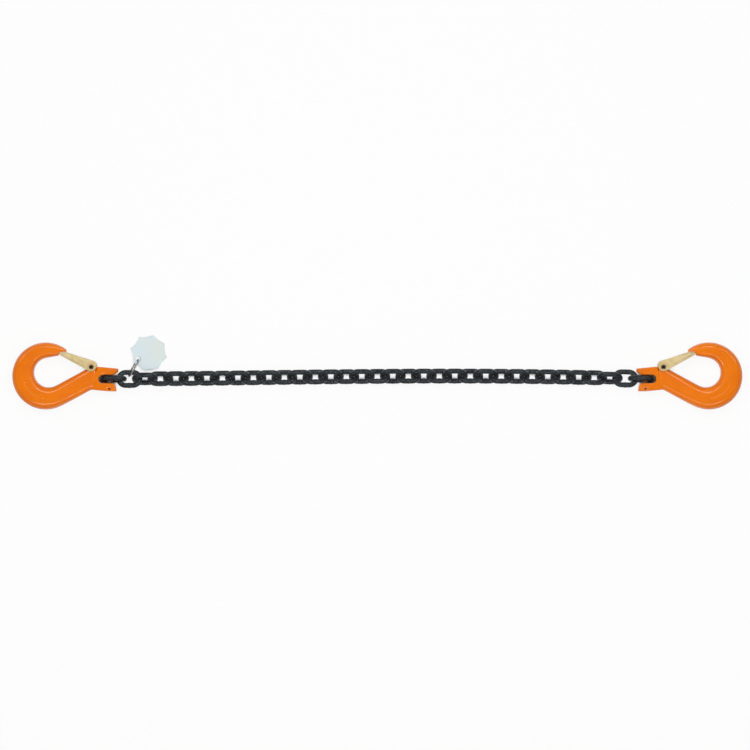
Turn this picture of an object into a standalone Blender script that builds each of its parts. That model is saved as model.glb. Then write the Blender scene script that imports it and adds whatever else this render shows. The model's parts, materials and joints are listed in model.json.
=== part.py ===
"""Chain sling: one run of round-steel chain with a clevis sling hook on each end.

The sling lies flat, as laid out for inspection: +X along the chain, +Y towards the tag, +Z up, the
floor at Z = 0 and the origin under the middle of its box. Lengths are in metres.
"""

import math

import bmesh
import bpy
from mathutils import Matrix, Vector

# Chain of round wire, its links lying half turned over as they settle on a floor
LINK_COUNT = 35
WIRE = 0.007
LINK_INSIDE_LENGTH = 0.021
LINK_INSIDE_WIDTH = 0.0116
LINK_PLAY = 0.0003
LEAN = math.radians(45)
END_LEAN = math.radians(9)
LEAN_LINKS = 3
BOW = 0.004
BOW_SKEW = 1.5
FLOOR_GAP = 0.0003
CROWN_STEPS = 6

# Hook in plan, measured from its load pin, with the bowl behind it
BOWL_RADIUS = 0.020
BOWL_REACH = 0.0811
BOWL_RISE = 0.0086
BACK_RADIUS = 0.0449
BACK_SHIFT = (-0.0041, -0.0046)
NOSE_LENGTH = 0.0281
NOSE_LEAN = math.radians(10)
NOSE_RAKE = math.radians(5)
SHANK_RISE = math.radians(28.3)

# Hook thickness, and the squareness of its forged section
HOOK_THICKNESS = 0.0262
SHANK_THICKNESS = 0.017
NOSE_THICKNESS = 0.016
SHANK_TAPER_SHARE = 0.55
SECTION_POINTS = 16
SECTION_POWER = 0.6
NOSE_STEPS = 6
BOWL_STEPS = 20
SHANK_STEPS = 6

# Clevis head, with the slot that takes the end link
HEAD_THICKNESS = 0.022
HEAD_ROUND = 0.0025
HEAD_BACK = 0.023
HEAD_SHOULDER = 0.0168
HEAD_TAPER = 0.0028
HEAD_UNDERCUT = 0.002
UPPER_PRONG = 0.0082
UPPER_TIP = 0.0118
LOWER_PRONG = 0.0109
LOWER_TIP = 0.0095
LOWER_TIP_SLANT = 0.0042
PRONG_CHAMFER = 0.0036
SLOT_PLAY = 0.0022
SLOT_END_PLAY = 0.0027
SLOT_WALL = 0.0025
SWING_GAP = 0.0006
SWING_REACH = math.radians(117)
SWING_STEPS = 18

# Pins
LOAD_PIN_RADIUS = 0.0045
LOAD_PIN_INSET = 0.001
RETAINING_PIN_RADIUS = 0.0012
RETAINING_PIN_INSET = 0.0035
RETAINING_PIN_SUNK = 0.001
LATCH_PIN_RADIUS = 0.003
LATCH_PIN_WALL = 0.0012
LATCH_PIN_SLIT = math.radians(20)
LATCH_PIN_PROUD = 0.0003
PIN_CLEARANCE = 0.0003
PIN_CHAMFER = 0.0005

# Latch, a folded channel whose web faces out of the throat
PIVOT_REACH = 0.024
PIVOT_DEPTH = 0.0007
LUG_RADIUS = 0.0054
LATCH_SHEET = 0.002
LATCH_SIDE_PLAY = 0.0004
LATCH_TIP_GAP = 0.0004
LATCH_LAP = 0.009
LATCH_TIP_RISE = 0.0025
LATCH_TIP_HALF = 0.0019
LATCH_SHOULDER = 0.005
LATCH_SHOULDER_LAP = 0.0073
LATCH_EYE_RADIUS = 0.0073
LATCH_EYE_SHIFT = (0.0009, -0.0013)
LATCH_EYE_START = math.radians(84)
LATCH_EYE_STEPS = 12
LATCH_WEB_START = 0.006
LATCH_RELIEF_GAP = 0.0006

# Torsion spring round the latch pin
SPRING_WIRE = 0.0011
SPRING_COIL_GAP = 0.00055
SPRING_TURNS = 3
SPRING_HALF_WIDTH = 0.003
SPRING_POCKET_GAP = 0.0012
SPRING_LATCH_LEG = 0.017
SPRING_HOOK_LEG = 0.011
SPRING_GROOVE_GAP = 0.0004
SPRING_STEPS_PER_TURN = 10

# Tag with hollowed sides, hung from the second link by a wire ring
TAG_RADIUS = 0.025
TAG_SIDES = 8
TAG_HOLLOW = 0.0012
TAG_THICKNESS = 0.0016
TAG_HOLE_RADIUS = 0.0035
TAG_HOLE_REACH = 0.0158
TAG_HOLE_TO_CORNER = math.radians(1)
TAG_HEADING = math.radians(30)
TAG_TILT = math.radians(5.5)
RING_WIRE = 0.0022
RING_INSIDE_WIDTH = 0.0092
RING_SPAN = 0.0136
RING_HEADING = math.radians(62)
RING_DIP = math.radians(11)
RING_ROLL = math.radians(17)
RING_SHIFT = 0.0022
RING_PLAY = 0.0007

CUT_REACH = 0.06
WELD = 0.000001
ROUND_SIDES = 24
SMALL_ROUND_SIDES = 12


def heading(angle):
    """Unit vector in plan at an angle from +X."""
    return Vector((math.cos(angle), math.sin(angle)))


def mix(first, second, share):
    return first + (second - first) * share


def eased(share):
    share = min(max(share, 0.0), 1.0)
    return share * share * (3 - 2 * share)


def arc(centre, radius, start, end, steps):
    """Points on an arc in plan, both ends included."""
    return [centre + radius * heading(mix(start, end, k / steps)) for k in range(steps + 1)]


# Sizes that several pieces share
WIRE_RADIUS = WIRE / 2
LINK_HALF_SPACING = (LINK_INSIDE_WIDTH + WIRE) / 2
LINK_HALF_LENGTH = (LINK_INSIDE_LENGTH + WIRE) / 2
LINK_STEP = LINK_INSIDE_LENGTH - LINK_PLAY
LINK_SEAT = LINK_INSIDE_LENGTH / 2 - WIRE_RADIUS - LINK_PLAY
PIN_SEAT = LINK_INSIDE_LENGTH / 2 - LOAD_PIN_RADIUS - LINK_PLAY
LINK_HALF_WIDTH = LINK_HALF_SPACING + WIRE_RADIUS
PIN_HEIGHT = max(HOOK_THICKNESS / 2, LINK_HALF_WIDTH + FLOOR_GAP)

BOWL_CENTRE = Vector((-BOWL_REACH, BOWL_RISE))
BACK_CENTRE = BOWL_CENTRE + Vector(BACK_SHIFT)
NOSE_START = BOWL_CENTRE + BOWL_RADIUS * heading(math.pi / 2 + NOSE_LEAN)
NOSE_END = NOSE_START + NOSE_LENGTH * heading(NOSE_LEAN)
SHANK_TURN = 1.5 * math.pi + SHANK_RISE
SHANK_INSIDE = BOWL_CENTRE + BOWL_RADIUS * heading(SHANK_TURN)
SHANK_OUTSIDE = BACK_CENTRE + BACK_RADIUS * heading(SHANK_TURN)

SLOT_HALF = WIRE_RADIUS + SLOT_PLAY
SLOT_BOTTOM = -(LOAD_PIN_RADIUS + LINK_PLAY + WIRE + SLOT_END_PLAY)
HEAD_TOP = SLOT_HALF + UPPER_PRONG
HEAD_BOTTOM = -(SLOT_HALF + LOWER_PRONG)

LUG_EDGE = SHANK_INSIDE.y + (-PIVOT_REACH - SHANK_INSIDE.x) * math.tan(SHANK_RISE)
PIVOT = Vector((-PIVOT_REACH, LUG_EDGE - PIVOT_DEPTH))
LATCH_INSIDE = SHANK_THICKNESS / 2 + LATCH_SIDE_PLAY
LATCH_OUTSIDE = LATCH_INSIDE + LATCH_SHEET
LATCH_AIM = NOSE_END - LATCH_LAP * heading(NOSE_LEAN) + LATCH_TIP_RISE * heading(NOSE_LEAN + math.pi / 2)
LATCH_LENGTH = (LATCH_AIM - PIVOT).length
LATCH_HEADING = math.atan2(LATCH_AIM.y - PIVOT.y, LATCH_AIM.x - PIVOT.x)
COIL_RADIUS = LATCH_PIN_RADIUS + SPRING_COIL_GAP + SPRING_WIRE / 2


def clear_scene():
    for obj in list(bpy.data.objects):
        bpy.data.objects.remove(obj)


def new_collection(name):
    collection = bpy.data.collections.new(name)
    bpy.context.scene.collection.children.link(collection)
    return collection


def new_material(name, colour, roughness, metallic):
    material = bpy.data.materials.new(name)
    material.use_nodes = True
    shader = material.node_tree.nodes["Principled BSDF"]
    shader.inputs["Base Color"].default_value = (*colour, 1)
    shader.inputs["Roughness"].default_value = roughness
    shader.inputs["Metallic"].default_value = metallic
    return material


def new_empty(name, matrix, parent, collection):
    empty = bpy.data.objects.new(name, None)
    collection.objects.link(empty)
    empty.parent = parent
    empty.matrix_basis = matrix
    return empty


def new_piece(name, data, matrix, parent, material, collection):
    """A sub-part placed under its parent, with its own material."""
    piece = bpy.data.objects.new(name, data)
    collection.objects.link(piece)
    piece.parent = parent
    piece.matrix_basis = matrix
    if not data.materials:
        data.materials.append(material)
    if isinstance(data, bpy.types.Mesh):
        data.shade_smooth()
        data.set_sharp_from_angle(angle=math.radians(40))
    return piece


def place(x, y, z):
    return Matrix.Translation((x, y, z))


def outline_mesh(name, loops, low, high, rounding=0.0):
    """Flat outlines, any inner one being a hole, filled and extruded between two heights."""
    curve = bpy.data.curves.new(name, "CURVE")
    curve.dimensions = "2D"
    curve.fill_mode = "BOTH"
    curve.extrude = (high - low) / 2 - rounding
    curve.bevel_depth = rounding
    curve.bevel_resolution = 1
    curve.offset = -rounding
    for loop in loops:
        spline = curve.splines.new("POLY")
        spline.points.add(len(loop) - 1)
        for point, corner in zip(spline.points, loop):
            point.co = (corner[0], corner[1], 0, 1)
        spline.use_cyclic_u = True
    guide = bpy.data.objects.new(name, curve)
    bpy.context.scene.collection.objects.link(guide)
    graph = bpy.context.evaluated_depsgraph_get()
    mesh = bpy.data.meshes.new_from_object(guide.evaluated_get(graph))
    bpy.data.objects.remove(guide)
    shape = bmesh.new()
    shape.from_mesh(mesh)
    bmesh.ops.remove_doubles(shape, verts=shape.verts, dist=WELD)
    bmesh.ops.translate(shape, verts=shape.verts, vec=(0, 0, (low + high) / 2))
    shape.to_mesh(mesh)
    shape.free()
    mesh.name = name
    return mesh


def cylinder_mesh(name, radius, length, sides):
    """A cylinder along Z with its middle at the origin."""
    mesh = bpy.data.meshes.new(name)
    shape = bmesh.new()
    bmesh.ops.create_cone(
        shape, cap_ends=True, segments=sides, radius1=radius, radius2=radius, depth=length
    )
    shape.to_mesh(mesh)
    shape.free()
    return mesh


def wire_curve(name, points, radius, sides_setting, closed):
    """Round wire along points, as a curve."""
    curve = bpy.data.curves.new(name, "CURVE")
    curve.dimensions = "3D"
    curve.bevel_depth = radius
    curve.bevel_resolution = sides_setting
    curve.use_fill_caps = not closed
    spline = curve.splines.new("POLY")
    spline.points.add(len(points) - 1)
    for point, place_at in zip(spline.points, points):
        point.co = (*place_at, 1)
    spline.use_cyclic_u = closed
    return curve


def stadium(half_length, half_width):
    """Closed loop in plan with straight sides and round ends, long along X."""
    centre = Vector((half_length - half_width, 0))
    right = arc(centre, half_width, -math.pi / 2, math.pi / 2, CROWN_STEPS)
    left = arc(-centre, half_width, math.pi / 2, 1.5 * math.pi, CROWN_STEPS)
    return right + left


def add_boolean(target, operation, cutter):
    modifier = target.modifiers.new(cutter.name, "BOOLEAN")
    modifier.operation = operation
    modifier.solver = "EXACT"
    modifier.object = cutter


def add_bevel(target, width):
    bevel = target.modifiers.new("chamfer", "BEVEL")
    bevel.width = width
    bevel.segments = 1
    bevel.limit_method = "ANGLE"


class Bench:
    """What every sub-part function needs: collections, materials and the root."""

    def __init__(self):
        self.parts = new_collection("chain_sling")
        self.cutters = new_collection("cutters")
        self.orange = new_material("orange_coated_steel", (0.84, 0.20, 0.005), 0.28, 0.0)
        self.black = new_material("black_chain_steel", (0.035, 0.042, 0.045), 0.42, 0.7)
        self.zinc = new_material("yellow_zinc_sheet", (0.66, 0.56, 0.28), 0.35, 0.8)
        self.dark = new_material("dark_pin_steel", (0.05, 0.04, 0.035), 0.45, 0.8)
        self.spring = new_material("spring_steel", (0.28, 0.28, 0.29), 0.35, 1.0)
        self.silver = new_material("tag_aluminium", (0.74, 0.79, 0.79), 0.35, 0.6)
        self.root = new_empty("chain_sling_root", Matrix(), None, self.parts)

    def add_cutter(self, name, mesh, matrix, parent):
        cutter = bpy.data.objects.new(name, mesh)
        self.cutters.objects.link(cutter)
        cutter.parent = parent
        cutter.matrix_basis = matrix
        cutter.hide_render = True
        cutter.display_type = "WIRE"
        return cutter


def section_ring(inside, outside, half_thickness):
    """Points round a forged section: a squared oval with flat top and bottom strips."""
    first = math.cos(math.pi / SECTION_POINTS) ** SECTION_POWER
    ring = []
    for k in range(SECTION_POINTS):
        angle = 2 * math.pi * (k + 0.5) / SECTION_POINTS
        across = math.copysign(abs(math.cos(angle)) ** SECTION_POWER, math.cos(angle)) / first
        up = math.copysign(abs(math.sin(angle)) ** SECTION_POWER, math.sin(angle)) / first
        point = mix(inside, outside, (1 + across) / 2)
        ring.append((point.x, point.y, up * half_thickness))
    return ring


def hook_sections():
    """Sections along the hook from its nose, round the bowl and up the shank into the head."""
    full = HOOK_THICKNESS / 2
    thin = SHANK_THICKNESS / 2
    tip = NOSE_END - BACK_CENTRE
    tip_angle = math.atan2(tip.y, tip.x) + NOSE_RAKE
    turn_start = math.pi / 2 + NOSE_LEAN
    rings = []
    for k in range(NOSE_STEPS):
        share = k / NOSE_STEPS
        inside = mix(NOSE_END, NOSE_START, share)
        outside = BACK_CENTRE + BACK_RADIUS * heading(mix(tip_angle, turn_start, share))
        rings.append(section_ring(inside, outside, mix(NOSE_THICKNESS / 2, full, eased(share))))
    for inside, outside in zip(
        arc(BOWL_CENTRE, BOWL_RADIUS, turn_start, SHANK_TURN, BOWL_STEPS),
        arc(BACK_CENTRE, BACK_RADIUS, turn_start, SHANK_TURN, BOWL_STEPS),
    ):
        rings.append(section_ring(inside, outside, full))
    lug_inside = Vector((-PIVOT_REACH, LUG_EDGE))
    below_lug = SHANK_OUTSIDE.y + (-PIVOT_REACH - SHANK_OUTSIDE.x) * math.tan(SHANK_RISE)
    lug_outside = Vector((-PIVOT_REACH, below_lug))
    for k in range(1, SHANK_STEPS + 1):
        share = k / SHANK_STEPS
        inside = mix(SHANK_INSIDE, lug_inside, share)
        outside = mix(SHANK_OUTSIDE, lug_outside, share)
        rings.append(section_ring(inside, outside, mix(full, thin, eased(share / SHANK_TAPER_SHARE))))
    end = SLOT_BOTTOM - SLOT_WALL
    inside = Vector((end, HEAD_TOP + HEAD_TAPER - HEAD_ROUND))
    outside = Vector((end, HEAD_BOTTOM + HEAD_UNDERCUT + HEAD_ROUND))
    rings.append(section_ring(inside, outside, thin))
    return rings


def loft_mesh(name, rings):
    """A closed skin through rings of points."""
    mesh = bpy.data.meshes.new(name)
    shape = bmesh.new()
    rows = [[shape.verts.new(point) for point in ring] for ring in rings]
    for row, following in zip(rows, rows[1:]):
        for k in range(len(row)):
            after = (k + 1) % len(row)
            shape.faces.new((row[k], row[after], following[after], following[k]))
    shape.faces.new(rows[0])
    shape.faces.new(rows[-1])
    bmesh.ops.recalc_face_normals(shape, faces=shape.faces)
    shape.to_mesh(mesh)
    shape.free()
    return mesh


def head_outline():
    return [
        (-HEAD_BACK, HEAD_BOTTOM + HEAD_UNDERCUT),
        (0, HEAD_BOTTOM),
        (LOWER_TIP, HEAD_BOTTOM),
        (LOWER_TIP - LOWER_TIP_SLANT, -SLOT_HALF),
        (UPPER_TIP / 2, SLOT_HALF),
        (UPPER_TIP, SLOT_HALF + PRONG_CHAMFER),
        (UPPER_TIP, HEAD_TOP),
        (-HEAD_SHOULDER, HEAD_TOP + HEAD_TAPER),
    ]


def swing_room_rings():
    """Room for the second link to swing about the load pin, which also rounds the prongs' ends."""
    crown = PIN_SEAT + LINK_STEP - LINK_INSIDE_LENGTH / 2 + LINK_INSIDE_WIDTH / 2
    clear = LINK_HALF_WIDTH + SWING_GAP
    side = math.sqrt(clear ** 2 - (crown - UPPER_TIP) ** 2)
    half_turn = math.atan2(side, crown - UPPER_TIP)
    hollow = arc(Vector((crown, 0)), clear, math.pi + half_turn, math.pi - half_turn, CROWN_STEPS)
    profile = [
        Vector((CUT_REACH, -CUT_REACH)),
        Vector((UPPER_TIP, -CUT_REACH)),
        *hollow,
        Vector((UPPER_TIP, CUT_REACH)),
        Vector((CUT_REACH, CUT_REACH)),
    ]
    rings = []
    for k in range(SWING_STEPS + 1):
        turn = mix(-SWING_REACH, SWING_REACH, k / SWING_STEPS)
        spun = [(p.x * math.cos(turn), p.y, p.x * math.sin(turn)) for p in profile]
        rings.append(spun)
    return rings


def slot_outline():
    centre = Vector((SLOT_BOTTOM + SLOT_HALF, 0))
    round_end = arc(centre, SLOT_HALF, math.pi / 2, 1.5 * math.pi, CROWN_STEPS)
    return [(CUT_REACH, SLOT_HALF), *round_end, (CUT_REACH, -SLOT_HALF)]


def latch_frame():
    """Hook coordinates of the latch: X from its pivot to its tip, Y towards the bowl."""
    return place(PIVOT.x, PIVOT.y, 0) @ Matrix.Rotation(LATCH_HEADING, 4, "Z")


def latch_upper_edge():
    """Ends of the web's outer face: at the eye, at the shoulder and at the tip."""
    eye = Vector((LATCH_EYE_SHIFT[0], LATCH_EYE_SHIFT[1] - LATCH_EYE_RADIUS))
    shoulder = Vector((LATCH_LENGTH - LATCH_SHOULDER_LAP, -LATCH_SHOULDER))
    tip = Vector((LATCH_LENGTH, -LATCH_TIP_HALF))
    return eye, shoulder, tip


def latch_outline():
    """Side of the latch: a round eye, and edges that taper to the tip under the nose."""
    centre = Vector(LATCH_EYE_SHIFT)
    eye = arc(centre, LATCH_EYE_RADIUS, LATCH_EYE_START, 1.5 * math.pi, LATCH_EYE_STEPS)
    shoulder, tip = latch_upper_edge()[1:]
    low_tip = Vector((LATCH_LENGTH - LATCH_SHEET / 2, LATCH_TIP_HALF))
    return [*eye, shoulder, tip, low_tip]


def latch_hollow():
    """What the fold leaves open between the cheeks: all but the web."""
    eye, shoulder, tip = latch_upper_edge()
    web_from = mix(eye, shoulder, (LATCH_WEB_START - eye.x) / (shoulder.x - eye.x))
    past_tip = tip + (tip - shoulder)
    down = Vector((0, LATCH_SHEET))
    return [
        (-CUT_REACH, CUT_REACH),
        (-CUT_REACH, -CUT_REACH),
        (LATCH_WEB_START, -CUT_REACH),
        web_from + down,
        shoulder + down,
        past_tip + down,
        (past_tip.x, CUT_REACH),
    ]


def nose_notch():
    """Room under the nose for the latch tip, and for its swing into the bowl."""
    shoulder, tip = latch_upper_edge()[1:]
    slope = (tip - shoulder).normalized()
    up = Vector((slope.y, -slope.x)) * LATCH_TIP_GAP
    wall = LATCH_LENGTH + LATCH_TIP_GAP
    corner = tip + up + slope * ((wall - tip.x) / slope.x)
    start = shoulder + up - slope * (LATCH_SHOULDER_LAP / slope.x)
    return [(wall, BOWL_RADIUS), corner, start, (start.x, BOWL_RADIUS)]


def make_hook(bench, end):
    """The forged hook: a lofted bowl and shank, joined to a clevis head and a latch lug."""
    hook = new_piece(
        "left_hook", loft_mesh("hook", hook_sections()), Matrix(), end, bench.orange, bench.parts
    )
    at_pivot = place(PIVOT.x, PIVOT.y, 0) @ Matrix.Rotation(math.pi / ROUND_SIDES, 4, "Z")
    half_head = HEAD_THICKNESS / 2
    head = outline_mesh("clevis_head", [head_outline()], -half_head, half_head, HEAD_ROUND)
    add_boolean(hook, "UNION", bench.add_cutter("clevis_head", head, Matrix(), end))
    relief_radius = LATCH_EYE_RADIUS + LATCH_RELIEF_GAP
    for name, side in (("relief_above", 1), ("relief_below", -1)):
        relief = cylinder_mesh(name, relief_radius, CUT_REACH, ROUND_SIDES)
        middle = place(0, 0, side * (SHANK_THICKNESS - PIN_CLEARANCE + CUT_REACH) / 2)
        add_boolean(hook, "DIFFERENCE", bench.add_cutter(name, relief, at_pivot @ middle, end))
    lug = cylinder_mesh("latch_lug", LUG_RADIUS, SHANK_THICKNESS - 2 * PIN_CLEARANCE, ROUND_SIDES)
    add_boolean(hook, "UNION", bench.add_cutter("latch_lug", lug, at_pivot, end))
    slot = outline_mesh("link_slot", [slot_outline()], -CUT_REACH, CUT_REACH)
    add_boolean(hook, "DIFFERENCE", bench.add_cutter("link_slot", slot, Matrix(), end))
    notch = outline_mesh("nose_notch", [nose_notch()], -CUT_REACH, CUT_REACH)
    add_boolean(hook, "DIFFERENCE", bench.add_cutter("nose_notch", notch, latch_frame(), end))
    along_y = Matrix.Rotation(math.pi / 2, 4, "X")
    swing = loft_mesh("swing_room", swing_room_rings())
    add_boolean(hook, "DIFFERENCE", bench.add_cutter("swing_room", swing, Matrix(), end))
    bore_radius = LOAD_PIN_RADIUS + PIN_CLEARANCE
    bore = cylinder_mesh("load_pin_bore", bore_radius, 2 * CUT_REACH, ROUND_SIDES)
    add_boolean(hook, "DIFFERENCE", bench.add_cutter("load_pin_bore", bore, along_y, end))
    cross_radius = RETAINING_PIN_RADIUS + PIN_CLEARANCE
    cross = cylinder_mesh("cross_hole", cross_radius, CUT_REACH, SMALL_ROUND_SIDES)
    at_cross = place(0, HEAD_BOTTOM + RETAINING_PIN_INSET, 0)
    add_boolean(hook, "DIFFERENCE", bench.add_cutter("cross_hole", cross, at_cross, end))
    eye = cylinder_mesh("pivot_hole", LATCH_PIN_RADIUS + PIN_CLEARANCE, CUT_REACH, ROUND_SIDES)
    add_boolean(hook, "DIFFERENCE", bench.add_cutter("pivot_hole", eye, at_pivot, end))
    pocket_radius = COIL_RADIUS + SPRING_WIRE / 2 + SPRING_POCKET_GAP
    pocket_width = 2 * (SPRING_HALF_WIDTH + SPRING_WIRE / 2 + SPRING_POCKET_GAP / 2)
    pocket = cylinder_mesh("spring_pocket", pocket_radius, pocket_width, ROUND_SIDES)
    add_boolean(hook, "DIFFERENCE", bench.add_cutter("spring_pocket", pocket, at_pivot, end))
    add_boolean(hook, "DIFFERENCE", add_leg_groove(bench, end))
    return hook


def add_leg_groove(bench, end):
    """Groove along the shank's inner edge that holds the spring's hook leg."""
    reach = SPRING_HOOK_LEG + 2 * SPRING_GROOVE_GAP
    half = SPRING_WIRE / 2 + SPRING_GROOVE_GAP
    floor = -(COIL_RADIUS + half)
    corners = [(-reach, floor), (0, floor), (0, BOWL_RADIUS), (-reach, BOWL_RADIUS)]
    groove = outline_mesh("leg_groove", [corners], -SPRING_HALF_WIDTH - half, -SPRING_HALF_WIDTH + half)
    along_shank = place(PIVOT.x, PIVOT.y, 0) @ Matrix.Rotation(SHANK_RISE, 4, "Z")
    return bench.add_cutter("leg_groove", groove, along_shank, end)


def make_load_pin(bench, end):
    """Pin across the slot, with a cross hole near its lower end for the retaining pin."""
    low = HEAD_BOTTOM + LOAD_PIN_INSET
    high = HEAD_TOP - LOAD_PIN_INSET
    mesh = cylinder_mesh("load_pin", LOAD_PIN_RADIUS, high - low, ROUND_SIDES)
    mesh.transform(place(0, (low + high) / 2, 0) @ Matrix.Rotation(math.pi / 2, 4, "X"))
    pin = new_piece("left_load_pin", mesh, Matrix(), end, bench.dark, bench.parts)
    add_bevel(pin, PIN_CHAMFER)
    hole_radius = RETAINING_PIN_RADIUS + PIN_CLEARANCE
    hole = cylinder_mesh("pin_cross_hole", hole_radius, CUT_REACH, SMALL_ROUND_SIDES)
    at_hole = place(0, HEAD_BOTTOM + RETAINING_PIN_INSET, 0)
    add_boolean(pin, "DIFFERENCE", bench.add_cutter("pin_cross_hole", hole, at_hole, end))


def make_retaining_pin(bench, end):
    length = HEAD_THICKNESS - 2 * RETAINING_PIN_SUNK
    mesh = cylinder_mesh("retaining_pin", RETAINING_PIN_RADIUS, length, SMALL_ROUND_SIDES)
    at_cross = place(0, HEAD_BOTTOM + RETAINING_PIN_INSET, 0)
    pin = new_piece("left_retaining_pin", mesh, at_cross, end, bench.dark, bench.parts)
    add_bevel(pin, RETAINING_PIN_RADIUS / 4)


def make_latch_pin(bench, end):
    """Roll pin: a rolled tube with an open slit along it."""
    start = LATCH_PIN_SLIT / 2
    around = 2 * math.pi - start
    origin = Vector((0, 0))
    outer = arc(origin, LATCH_PIN_RADIUS, start, around, ROUND_SIDES)
    inner = arc(origin, LATCH_PIN_RADIUS - LATCH_PIN_WALL, around, start, ROUND_SIDES)
    half = LATCH_OUTSIDE + LATCH_PIN_PROUD
    mesh = outline_mesh("latch_pin", [outer + inner], -half, half)
    at_pivot = place(PIVOT.x, PIVOT.y, 0)
    new_piece("left_latch_pin", mesh, at_pivot, end, bench.dark, bench.parts)


def make_latch(bench, end):
    mesh = outline_mesh("latch", [latch_outline()], -LATCH_OUTSIDE, LATCH_OUTSIDE)
    latch = new_piece("left_latch", mesh, latch_frame(), end, bench.zinc, bench.parts)
    hollow = outline_mesh("latch_hollow", [latch_hollow()], -LATCH_INSIDE, LATCH_INSIDE)
    add_boolean(latch, "DIFFERENCE", bench.add_cutter("latch_hollow", hollow, latch_frame(), end))
    hole = cylinder_mesh("latch_hole", LATCH_PIN_RADIUS + PIN_CLEARANCE, CUT_REACH, ROUND_SIDES)
    add_boolean(latch, "DIFFERENCE", bench.add_cutter("latch_hole", hole, latch_frame(), end))


def spring_points():
    """Centre line from the hook leg, round the coil and out along the latch leg."""
    start = SHANK_RISE - math.pi / 2
    end = LATCH_HEADING - math.pi / 2
    while end < start + 2 * math.pi * SPRING_TURNS:
        end += 2 * math.pi
    steps = round((end - start) / (2 * math.pi) * SPRING_STEPS_PER_TURN)
    points = []
    for k in range(steps + 1):
        angle = mix(start, end, k / steps)
        rim = COIL_RADIUS * heading(angle)
        points.append(Vector((rim.x, rim.y, mix(-SPRING_HALF_WIDTH, SPRING_HALF_WIDTH, k / steps))))
    hook_leg = points[0] - SPRING_HOOK_LEG * heading(SHANK_RISE).to_3d()
    latch_leg = points[-1] + SPRING_LATCH_LEG * heading(LATCH_HEADING).to_3d()
    return [hook_leg, *points, latch_leg]


def least_coil_gap(points):
    """Smallest clear distance between turns, measured on points along the centre line."""
    apart = SPRING_STEPS_PER_TURN // 2
    least = math.inf
    for k, first in enumerate(points):
        for second in points[k + apart:]:
            least = min(least, (first - second).length - SPRING_WIRE)
    return least


def make_spring(bench, end):
    points = spring_points()
    print(f"latch spring: least gap between turns {least_coil_gap(points) * 1000:.2f} mm")
    curve = wire_curve("latch_spring", points, SPRING_WIRE / 2, 1, False)
    at_pivot = place(PIVOT.x, PIVOT.y, 0)
    new_piece("left_latch_spring", curve, at_pivot, end, bench.spring, bench.parts)


def copy_end(bench, end, other_end):
    """The same pieces again at the other end of the chain."""
    graph = bpy.context.evaluated_depsgraph_get()
    for piece in [child for child in end.children if child.name in bench.parts.objects]:
        if piece.name.startswith("link"):
            continue
        mesh = bpy.data.meshes.new_from_object(piece.evaluated_get(graph))
        mesh.materials.clear()
        name = piece.name.replace("left", "right")
        material = piece.data.materials[0]
        new_piece(name, mesh, piece.matrix_basis.copy(), other_end, material, bench.parts)


def twist_at(position):
    """How far the links are turned over, growing from each end to the full lean."""
    from_end = min(position - 1, LINK_COUNT - position)
    return mix(END_LEAN, LEAN, min(max(from_end / LEAN_LINKS, 0), 1))


def height_at(position):
    """Height of the chain's axis: the pin's at the ends, and as low as the leaning links let it."""
    low = LINK_HALF_SPACING * math.cos(LEAN) + WIRE_RADIUS + FLOOR_GAP
    share = (math.cos(twist_at(position)) - math.cos(LEAN)) / (math.cos(END_LEAN) - math.cos(LEAN))
    return mix(low, PIN_HEIGHT, share)


def chain_joints():
    """Points where neighbouring links meet, each one link step from the last."""
    joints = [Vector((0, 0, height_at(0.5)))]
    for k in range(1, LINK_COUNT + 1):
        aside = BOW * math.sin(math.pi * (k / LINK_COUNT) ** BOW_SKEW)
        up = height_at(k + 0.5)
        last = joints[-1]
        ahead = math.sqrt(LINK_STEP ** 2 - (aside - last.y) ** 2 - (up - last.z) ** 2)
        joints.append(Vector((last.x + ahead, aside, up)))
    return joints


def link_matrix(number, joints):
    """Frame at a link's middle: X along the chain and Y across the link."""
    first = joints[number - 1]
    second = joints[number]
    along = (second - first).normalized()
    aside = Vector((0, 0, 1)).cross(along).normalized()
    up = along.cross(aside)
    twist = twist_at(number)
    turn = math.pi / 2 - twist if number % 2 else -twist
    across = aside * math.cos(turn) + up * math.sin(turn)
    matrix = Matrix((along, across, along.cross(across))).transposed().to_4x4()
    matrix.translation = (first + second) / 2
    return matrix


def make_chain(bench, end, joints):
    """Links that share one curve, each with its origin where the wire before it sits."""
    loop = stadium(LINK_HALF_LENGTH, LINK_HALF_SPACING)
    points = [Vector((point.x + LINK_SEAT, point.y, 0)) for point in loop]
    curve = wire_curve("chain_link", points, WIRE_RADIUS, 2, True)
    for number in range(1, LINK_COUNT + 1):
        matrix = link_matrix(number, joints) @ place(-LINK_SEAT, 0, 0)
        parent = end if number == 1 else bench.root
        matrix = parent.matrix_basis.inverted() @ matrix
        new_piece(f"link_{number:02d}", curve, matrix, parent, bench.black, bench.parts)


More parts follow.
